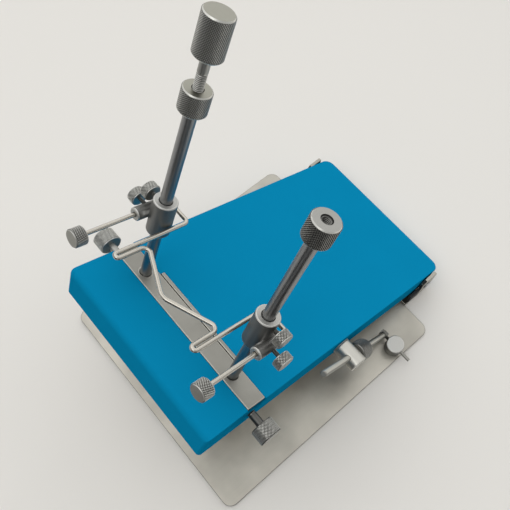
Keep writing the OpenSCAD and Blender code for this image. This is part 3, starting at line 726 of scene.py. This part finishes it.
def thread_tree():
    """A V thread: a strip of crests and roots that climbs one pitch each turn."""
    tree, net, given = new_tree(
        "V thread", Float="Radius, Start, Length, Depth, Pitch", Int="Around, Rows",
        Bool="Inside, Runs out", Material="Material")
    strip = net.node("GeometryNodeMeshGrid", None, {
        "Size X": 1.0, "Size Y": 1.0,
        "Vertices X": given["Around"] + 1.0, "Vertices Y": given["Rows"] + 1.0})["Mesh"]
    number = net.node("GeometryNodeInputIndex")["Index"]
    column = number.maths("FLOOR", (number + 0.5) / (given["Rows"] + 1.0))
    row = number - column * (given["Rows"] + 1.0)
    climb = given["Pitch"] * (0.5 * row + column / given["Around"] - 1.0)
    height = climb.at_most(given["Length"]).at_least(0.0)
    room = ((given["Length"] - height) / (RUN_OUT * given["Pitch"])).at_most(1.0)
    root = (row % 2.0) * (1.0 - given["Runs out"] * (1.0 - room))
    proud = given["Inside"] * root + (1.0 - given["Inside"]) * (1.0 - root)
    # Thread crests get a painted highlight, roots painted shade.
    marked = crest_mark(net, strip, proud)
    bent = wrap(net, marked, given["Radius"] - given["Depth"] * root,
                column * (2.0 * math.pi) / given["Around"], height + given["Start"])
    end_light = net.node("GeometryNodeFlipFaces", None, {
        "Mesh": bent, "Selection": given["Inside"]})["Mesh"]
    close_tree(net, given, [given["Geometry"], crisp(net, end_light)])
    return tree


def wire_tree():
    """A round wire along a path of corner points, each with its own bend radius."""
    tree, net, given = new_tree(
        "Bent wire", Float="Diameter", Int="Around, Bend steps", Material="Material")
    path = net.node("GeometryNodeMeshToCurve", None, {"Mesh": given["Geometry"]})["Curve"]
    bend = net.node("GeometryNodeInputNamedAttribute", {"data_type": "FLOAT"}, {"Name": "bend"})
    round_path = net.node("GeometryNodeFilletCurve", {"mode": "POLY"}, {
        "Curve": path, "Count": given["Bend steps"], "Radius": bend["Attribute"],
        "Limit Radius": True})["Curve"]
    ring = net.node("GeometryNodeCurvePrimitiveCircle", {"mode": "RADIUS"}, {
        "Resolution": given["Around"], "Radius": 0.5 * given["Diameter"]})["Curve"]
    tube = net.node("GeometryNodeCurveToMesh", None, {
        "Curve": round_path, "Profile Curve": ring, "Fill Caps": True})["Mesh"]
    close_tree(net, given, [tube])
    return tree


def screw_tree():
    """Countersunk screws with a six-sided socket, one at each point."""
    tree, net, given = new_tree(
        "Countersunk screws", Float="Diameter, Length", Material="Material")
    wide = given["Diameter"]
    head = net.node("GeometryNodeMeshCone", {"fill_type": "NGON"}, {
        "Vertices": 48, "Radius Top": wide, "Radius Bottom": 0.5 * wide,
        "Depth": 0.5 * wide})["Mesh"]
    socket = net.node("GeometryNodeMeshCylinder", {"fill_type": "NGON"}, {
        "Vertices": 6, "Radius": 0.36 * wide, "Depth": 0.6 * wide})["Mesh"]
    shank = net.node("GeometryNodeMeshCylinder", {"fill_type": "NGON"}, {
        "Vertices": 32, "Radius": 0.5 * wide, "Depth": given["Length"] - 0.5 * wide})["Mesh"]

    def lowered(shape, height):
        return net.node("GeometryNodeTransform", None, {
            "Geometry": shape, "Translation": net.vector(z=height)})["Geometry"]

    hollow = net.node("GeometryNodeMeshBoolean", {"operation": "DIFFERENCE", "solver": "EXACT"}, {
        "Mesh 1": lowered(head, -0.5 * wide), "Mesh 2": socket})["Mesh"]
    screw = net.node("GeometryNodeJoinGeometry", None, {
        "Geometry": [hollow, lowered(shank, -0.25 * wide - 0.5 * given["Length"])]})["Geometry"]
    turn = net.node("GeometryNodeInputNamedAttribute", {"data_type": "FLOAT_VECTOR"}, {
        "Name": "turn"})["Attribute"]
    set_down = net.node("GeometryNodeInstanceOnPoints", None, {
        "Points": given["Geometry"], "Instance": screw, "Rotation": turn})["Instances"]
    plain = net.node("GeometryNodeRealizeInstances", None, {"Geometry": set_down})["Geometry"]
    # The screws take one crest level, which sets their painted tone.
    close_tree(net, given, [crest_mark(net, plain, 0.6)])
    return tree


TREE_MAKERS = {"knurl": knurl_tree, "thread": thread_tree, "wire": wire_tree, "screws": screw_tree}
TREES = {}


def grow(mesh, name, values):
    """Runs a Geometry Nodes tree on a mesh and gives the result as a plain mesh."""
    if name not in TREES:
        TREES[name] = TREE_MAKERS[name]()
    tree = TREES[name]
    carrier = bpy.data.objects.new("carrier", mesh)
    bpy.context.scene.collection.objects.link(carrier)
    modifier = carrier.modifiers.new(tree.name, "NODES")
    modifier.node_group = tree
    names = {item.name: item.identifier for item in tree.interface.items_tree
             if item.item_type == "SOCKET" and item.in_out == "INPUT"}
    for label, value in values.items():
        modifier[names[label]] = value
    graph = bpy.context.evaluated_depsgraph_get()
    result = bpy.data.meshes.new_from_object(carrier.evaluated_get(graph), depsgraph=graph)
    carrier.modifiers.remove(modifier)
    bpy.data.objects.remove(carrier)
    if not result.vertices:
        raise RuntimeError(f"{tree.name} made nothing")
    return result


def knurl(mesh, node, radius, start, length, sizes):
    """A turned mesh with a diamond knurl from start along its axis, in millimetres."""
    around = max(12, round(2 * math.pi * radius * MM / sizes.knurl_pitch))
    rows = max(4, 2 * round(length * MM / (TOOTH_TALL * sizes.knurl_pitch)))
    return grow(mesh, "knurl", {
        "Radius": radius * MM, "Start": start * MM, "Length": length * MM,
        "Depth": sizes.knurl_depth, "Flat": TOOTH_FLAT, "Around": around, "Rows": rows,
        "Material": finish_of(node)})


def thread(mesh, node, radius, start, length, pitch, inside=False, runs_out=False):
    """A turned mesh with a thread from start along its axis, in millimetres."""
    return grow(mesh, "thread", {
        "Radius": radius * MM, "Start": start * MM, "Length": length * MM,
        "Depth": THREAD_DEEP * pitch, "Pitch": pitch, "Around": 40,
        "Rows": 2 * (math.ceil(length * MM / pitch) + 2), "Inside": inside,
        "Runs out": runs_out, "Material": finish_of(node)})


def on_platform(u, y, w, turn=Matrix.Identity(4)):
    """A place on the platform in millimetres, with a turn of the piece's own axis."""
    return PLATFORM @ Matrix.Translation((u * MM, y * MM, w * MM)) @ turn


def sideways(sign):
    """Turns a piece's axis out to the left, or to the right."""
    return Matrix.Rotation(math.radians(-90 * sign), 4, "X")


def knob_profile(radius, height, chamfer, groove, inside):
    """A knob's outline: what is inside its lower end, the rim, the side and the upper end."""
    low, high = inside
    side = radius - groove
    return low + [(radius - chamfer, 0.0), (side, chamfer), (side, height - chamfer),
                  (radius - chamfer, height)] + high


def blind_bore(radius, deep):
    """The outline of a bore in a knob's lower end."""
    return [(0.0, deep), (radius, deep), (radius, 0.0)]


class HOLDER_OT_base(bpy.types.Operator):
    """Dress the base plate, the hinge bracket, the pads and the pillar"""
    bl_idname = "holder.base"
    bl_label = "Base and hinge"

    def execute(self, context):
        edge = context.scene.holder_sizes.edge
        soften("base_plate", SHEET_EDGE * edge, 3, axes=[UPRIGHT])
        soften("hinge_bracket", SHEET_EDGE * edge, 3, axes=[UPRIGHT, SIDEWARD])
        soften("rear_pads", SOFT_EDGE * edge, 3)
        soften("stay_pillar", edge, axes=[UPRIGHT])
        for node in ("hinge_pins", "hinge_washers", "stay_pin"):
            soften(node, edge, axes=[SIDEWARD])
        return {"FINISHED"}


class HOLDER_OT_platform(bpy.types.Operator):
    """Dress the blue platform, its floor, the cross bar and the filler strip"""
    bl_idname = "holder.platform"
    bl_label = "Platform"

    def execute(self, context):
        edge = context.scene.holder_sizes.edge
        to_platform = PLATFORM.inverted()

        def in_slot(spot):
            """Edges of the slot stay sharp, so that the bar and the strip fit closely."""
            return SLOT_LOW < (to_platform @ spot).x / MM < SLOT_HIGH

        soften("platform_shell", SOFT_EDGE * edge, 3, spared=in_slot)
        for node in ("floor_sheet", "cross_bar", "filler_strip"):
            soften(node, SOFT_EDGE * edge, axes=[ACROSS])
        return {"FINISHED"}


class HOLDER_OT_posts(bpy.types.Operator):
    """Dress the posts and the sleeves that slide on them"""
    bl_idname = "holder.posts"
    bl_label = "Posts and sleeves"

    def execute(self, context):
        edge = context.scene.holder_sizes.edge
        for node in ("left_post", "right_post"):
            soften(node, edge)
        for node in ("left_sleeve", "right_sleeve"):
            soften(node, edge, axes=[ACROSS, ALONG], mouth=SUNK_MOUTH * edge)
        return {"FINISHED"}


class HOLDER_OT_stay(bpy.types.Operator):
    """Dress the stay's rod, block and washers"""
    bl_idname = "holder.stay"
    bl_label = "Stay"

    def execute(self, context):
        edge = context.scene.holder_sizes.edge
        along_stay = STAY.col[0].to_3d()
        for node in ("stay_rod", "stay_block", "stay_washer", "stay_clip"):
            soften(node, edge, axes=[SIDEWARD, along_stay])
        return {"FINISHED"}


class HOLDER_OT_knobs(bpy.types.Operator):
    """Make the knurled knobs: post heads, top cap, wire knobs, screw heads and the stay nut"""
    bl_idname = "holder.knobs"
    bl_label = "Knurled knobs"

    def execute(self, context):
        sizes = context.scene.holder_sizes
        groove = sizes.knurl_depth / MM + 0.02
        along = Matrix.Rotation(math.radians(90), 4, "Y")

        def knob(node, radius, height, chamfer, inside, place, inner_thread=None):
            mesh = lathe(knob_profile(radius, height, chamfer, groove, inside))
            mesh = knurl(mesh, node, radius, chamfer, height - 2 * chamfer, sizes)
            if inner_thread:
                mesh = thread(mesh, node, *inner_thread, sizes.large_pitch, inside=True)
            mesh.transform(place)
            show(mesh, node)

        # The hole in a head: its sunk mouth, its side and its floor. Only the right one is
        # open and shows its thread.
        hole_r, hole_floor = 3.12, 4.8
        hole = [(3.5, HEAD_H), (hole_r, HEAD_H - 0.4), (hole_r, hole_floor), (0.0, hole_floor)]
        inner_threads = {"right": (3.1, 5.2, HEAD_H - 5.8)}
        for side, sign in SIDES:
            knob(side + "_head", LARGE_KNOB, HEAD_H, 0.8, (blind_bore(4.0, 4.2), hole),
                 on_platform(BAR_U, sign * POST_Y, HEAD_LOW), inner_threads.get(side))
        large_bore, small_bore = LARGE_STUD + STUD_ROOM, SMALL_STUD + STUD_ROOM
        knob("top_cap", LARGE_KNOB, CAP_H, 0.8, (blind_bore(large_bore, 10.05), [(0.0, CAP_H)]),
             on_platform(BAR_U, POST_Y, CAP_LOW))
        thumb_h, end_h, wire_knob_h, wire_r = 6.0, 11.0, 8.0, 1.5
        wire_bore = [(wire_r, wire_knob_h), (wire_r, 3.0), (0.0, 3.0)]
        end_inside = (blind_bore(large_bore, 9.55), [(0.0, end_h)])
        thumb_inside = (blind_bore(small_bore, 4.55), [(0.0, thumb_h)])
        for side, sign in SIDES:
            out = sideways(sign)
            knob(side + "_knob", SMALL_KNOB, wire_knob_h, 0.6, ([(0.0, 0.0)], wire_bore),
                 on_platform(KNOB_U, sign * TUBE_Y, WIRE_W, along))
            knob(side + "_end_head", LARGE_KNOB, end_h, 0.6, end_inside,
                 on_platform(END_U, sign * END_HEAD_Y, END_W, out))
            knob(side + "_upper_head", SMALL_KNOB, thumb_h, 0.5, thumb_inside,
                 on_platform(BAR_U, sign * UPPER_HEAD_Y, SCREW_W, out))
            knob(side + "_lower_head", SMALL_KNOB, thumb_h, 0.5, thumb_inside,
                 on_platform(LOWER_U, sign * LOWER_HEAD_Y, WIRE_W, out))
        nut_r = 2.55
        knob("stay_nut", LARGE_KNOB, NUT_H, 0.8, ([(nut_r, 0.0)], [(nut_r, NUT_H), (nut_r, 0.0)]),
             STAY @ Matrix.Translation((NUT_U * MM, 0.0, 0.0)) @ along)
        return {"FINISHED"}


class HOLDER_OT_studs(bpy.types.Operator):
    """Make the threaded studs: the top stud, the end screws and the small screws"""
    bl_idname = "holder.studs"
    bl_label = "Threaded studs"

    def execute(self, context):
        sizes = context.scene.holder_sizes

        def stud(node, radius, length, cut, pitch, place):
            core = radius - THREAD_CORE * pitch / MM
            profile = [(0.0, 0.0), (core, 0.0), (core, cut)]
            if cut < length:
                profile += [(radius, cut), (radius, length), (0.0, length)]
            else:
                profile += [(core, length), (0.0, length)]
            mesh = lathe(profile, segments=64, hollow=False, crest=0.7)
            mesh = thread(mesh, node, radius, 0.0, cut, pitch, runs_out=cut < length)
            mesh.transform(place)
            show(mesh, node)

        stud("top_stud", LARGE_STUD, 36.0, 17.0, sizes.large_pitch,
             on_platform(BAR_U, POST_Y, TOP_STUD_LOW))
        for side, sign in SIDES:
            out = sideways(sign)
            stud(side + "_end_stud", LARGE_STUD, 42.25, 24.0, sizes.large_pitch,
                 on_platform(END_U, sign * STUD_Y, END_W, out))
            stud(side + "_upper_stud", SMALL_STUD, 12.15, 12.15, sizes.small_pitch,
                 on_platform(BAR_U, sign * STUD_Y, SCREW_W, out))
            stud(side + "_lower_stud", SMALL_STUD, 12.55, 12.55, sizes.small_pitch,
                 on_platform(LOWER_U, sign * LOWER_STUD_Y, WIRE_W, out))
        return {"FINISHED"}


class HOLDER_OT_wire(bpy.types.Operator):
    """Bend the wire bar along its path"""
    bl_idname = "holder.wire"
    bl_label = "Wire bar"

    def execute(self, context):
        # Corners of the left half from the knob inwards: u, y and the bend's radius.
        half = [(-10.0, TUBE_Y, 0.0), (58.5, TUBE_Y, 3.0), (58.5, 38.6, 3.0), (2.1, 38.6, 1.899),
                (2.1, 34.8, 1.899), (24.5, 34.8, 4.0)]
        dip = (8.2, 0.0, 8.0)
        path = half + [dip] + [(u, -y, bend) for u, y, bend in reversed(half)]
        mesh = bpy.data.meshes.new("wire_path")
        mesh.from_pydata([(u * MM, y * MM, WIRE_W * MM) for u, y, _ in path],
                         [(i, i + 1) for i in range(len(path) - 1)], [])
        store(mesh, "bend", "POINT", [bend * MM for _, _, bend in path])
        wire = grow(mesh, "wire", {
            "Diameter": context.scene.holder_sizes.wire, "Around": 32, "Bend steps": 14,
            "Material": finish_of("wire_bar")})
        wire.shade_smooth()
        wire.set_sharp_from_angle(angle=math.radians(40))
        wire.transform(PLATFORM)
        show(wire, "wire_bar")
        return {"FINISHED"}


class HOLDER_OT_screws(bpy.types.Operator):
    """Set the countersunk screws and the hidden bar screws"""
    bl_idname = "holder.screws"
    bl_label = "Screws"

    def execute(self, context):
        flip = Matrix.Rotation(math.pi, 4, "X")

        def screws(node, diameter, length, places):
            mesh = bpy.data.meshes.new(node + "_points")
            mesh.from_pydata([place.to_translation() for place in places], [], [])
            turns = [value for place in places for value in place.to_euler()]
            turn = mesh.attributes.new("turn", "FLOAT_VECTOR", "POINT")
            turn.data.foreach_set("vector", turns)
            made = grow(mesh, "screws", {
                "Diameter": diameter * MM, "Length": length * MM, "Material": finish_of(node)})
            made.shade_smooth()
            made.set_sharp_from_angle(angle=math.radians(30))
            show(made, node)

        screws("bracket_screws_set", diameter=4.0, length=5.5, places=[
            Matrix.Translation((105 * MM, y * MM, 5.5 * MM)) for y in (-51, -17, 17, 51)])
        screws("pillar_screw", diameter=5.0, length=8.7, places=[
            Matrix.Translation((80.5 * MM, -100.2 * MM, 0.0)) @ flip])
        screws("floor_screws", diameter=3.0, length=10.0, places=[
            on_platform(u, sign * FLOOR_SCREW_Y, FLOOR_W, flip)
            for u in (14.1, 118.44, 228.42) for _, sign in SIDES])
        soften("bar_screws_set", context.scene.holder_sizes.edge)
        return {"FINISHED"}


def paper_floor(scene, colour):
    """A plain pale floor, just below the base plate."""
    form = bmesh.new()
    bmesh.ops.create_grid(form, x_segments=8, y_segments=8, size=3.0)
    mesh = bpy.data.meshes.new("floor")
    form.to_mesh(mesh)
    form.free()
    floor = bpy.data.objects.new("floor", mesh)
    floor.location.z = -0.2 * MM
    scene.collection.objects.link(floor)
    material, net, place = fresh_material("paper_floor")
    cloud = net.noise(place, scale=1.6)
    close_material(net, {
        "Base Color": net.tint(cloud, shade(colour, 0.97), shade(colour, 1.02)),
        "Roughness": 0.9})
    mesh.materials.append(material)


def mirror_card(scene, name, corners, grey):
    """A dark card beside the part that only the metal mirrors: painted shade in the reflections."""
    mesh = bpy.data.meshes.new(name)
    mesh.from_pydata(corners, [], [tuple(range(len(corners)))])
    card = bpy.data.objects.new(name, mesh)
    scene.collection.objects.link(card)
    card.visible_camera = card.visible_diffuse = False
    card.visible_shadow = card.visible_transmission = False
    material, net, _ = fresh_material(name)
    close_material(net, {"Base Color": (grey, grey, grey, 1.0), "Roughness": 0.9})
    mesh.materials.append(material)


def soft_room(scene, fill, backdrop):
    """Light from a window, a ceiling and a lamp tube, and a plain backdrop for the camera."""
    world = bpy.data.worlds.new("room")
    world.use_nodes = True
    world.node_tree.nodes.clear()
    net = Net(world.node_tree)
    sight = net.node("ShaderNodeTexCoord")["Generated"]

    def glow(way, start, full, low, high):
        toward = net.node("ShaderNodeVectorMath", {"operation": "DOT_PRODUCT"}, {0: sight, 1: way})
        return net.ease(toward["Value"], start, full, low, high)

    window = glow((0.58, 0.48, 0.66), -0.2, 0.95, 0.16, 1.5)
    ceiling = glow((-0.25, 0.45, 0.857), 0.80, 0.98, 0.0, 0.5)
    tube = glow((-0.50, -0.15, 0.853), 0.95, 0.98, 0.0, 2.4)
    ray = net.node("ShaderNodeLightPath")
    mirrored = (window + ceiling + tube).at_least(0.5 * ray["Is Glossy Ray"])
    seen = ray["Is Camera Ray"]
    sky = net.node("ShaderNodeBackground", None, {
        "Color": (1.0, 0.995, 0.98, 1.0),
        "Strength": fill * mirrored * (1.0 - seen) + backdrop * seen})
    net.node("ShaderNodeOutputWorld", None, {"Surface": sky["Background"]})
    scene.world = world


def overhead_light(scene, power):
    """One large soft light above the part, which the metal doesn't mirror."""
    place, target = Vector((-0.35, 0.35, 1.5)), Vector((0.0, 0.0, 0.05))
    light = bpy.data.lights.new("overhead", "AREA")
    light.shape = "RECTANGLE"
    light.size, light.size_y = 1.6, 1.4
    light.energy = power
    light.color = (1.0, 0.985, 0.96)
    lamp = bpy.data.objects.new("overhead", light)
    lamp.location = place
    lamp.rotation_euler = (target - place).to_track_quat("-Z", "Y").to_euler()
    lamp.visible_glossy = False
    scene.collection.objects.link(lamp)


def photo_camera(scene, lens):
    """The photograph's camera, as it was fitted to the corners of the part."""
    camera = bpy.data.cameras.new("camera")
    camera.sensor_width = 36.0
    camera.sensor_fit = "HORIZONTAL"
    camera.lens = lens
    camera.shift_x, camera.shift_y = -0.0470, 0.0592
    camera.clip_start = 0.01
    eye = bpy.data.objects.new("camera", camera)
    ahead = Vector((0.2435, 0.2505, -0.9370)).normalized()
    right = Vector((0.7560, -0.6542, 0.0216)).normalized()
    turn = Matrix((right, right.cross(ahead), -ahead)).transposed().to_4x4()
    eye.matrix_world = Matrix.Translation((-0.0893, -0.1224, 0.5077)) @ turn
    scene.collection.objects.link(eye)
    scene.camera = eye


class HOLDER_OT_stage(bpy.types.Operator):
    """Set the floor, the soft light and the camera"""
    bl_idname = "holder.stage"
    bl_label = "Stage"

    def execute(self, context):
        scene = context.scene
        stage = scene.holder_stage
        scene.view_settings.view_transform = "Standard"
        paper_floor(scene, stage.floor)
        for name, corners, grey in CARDS:
            mirror_card(scene, name, corners, grey)
        soft_room(scene, stage.fill, stage.backdrop)
        overhead_light(scene, stage.key)
        photo_camera(scene, stage.lens)
        return {"FINISHED"}


PIECES = (HOLDER_OT_base, HOLDER_OT_platform, HOLDER_OT_posts, HOLDER_OT_stay, HOLDER_OT_knobs,
          HOLDER_OT_studs, HOLDER_OT_wire, HOLDER_OT_screws, HOLDER_OT_stage)
GROUPS = {"holder_sizes": HolderSizes, "holder_colours": HolderColours, "holder_stage": HolderStage}


class HOLDER_PT_panel(bpy.types.Panel):
    bl_idname = "HOLDER_PT_panel"
    bl_label = "Work holder"
    bl_space_type = "VIEW_3D"
    bl_region_type = "UI"
    bl_category = "Work holder"

    def draw(self, context):
        layout = self.layout
        for name in GROUPS:
            group = getattr(context.scene, name)
            box = layout.box()
            for value in group.__annotations__:
                box.prop(group, value)
        for piece in PIECES:
            layout.operator(piece.bl_idname)


def register():
    for name, group in GROUPS.items():
        bpy.utils.register_class(group)
        setattr(bpy.types.Scene, name, bpy.props.PointerProperty(type=group))
    for piece in PIECES:
        bpy.utils.register_class(piece)
    bpy.utils.register_class(HOLDER_PT_panel)


def unregister():
    bpy.utils.unregister_class(HOLDER_PT_panel)
    for piece in reversed(PIECES):
        bpy.utils.unregister_class(piece)
    for name, group in GROUPS.items():
        delattr(bpy.types.Scene, name)
        bpy.utils.unregister_class(group)


def main():
    register()
    make_finishes(bpy.context.scene.holder_colours)
    for piece in PIECES:
        module, name = piece.bl_idname.split(".")
        getattr(getattr(bpy.ops, module), name)()


if __name__ == "__main__":
    main()
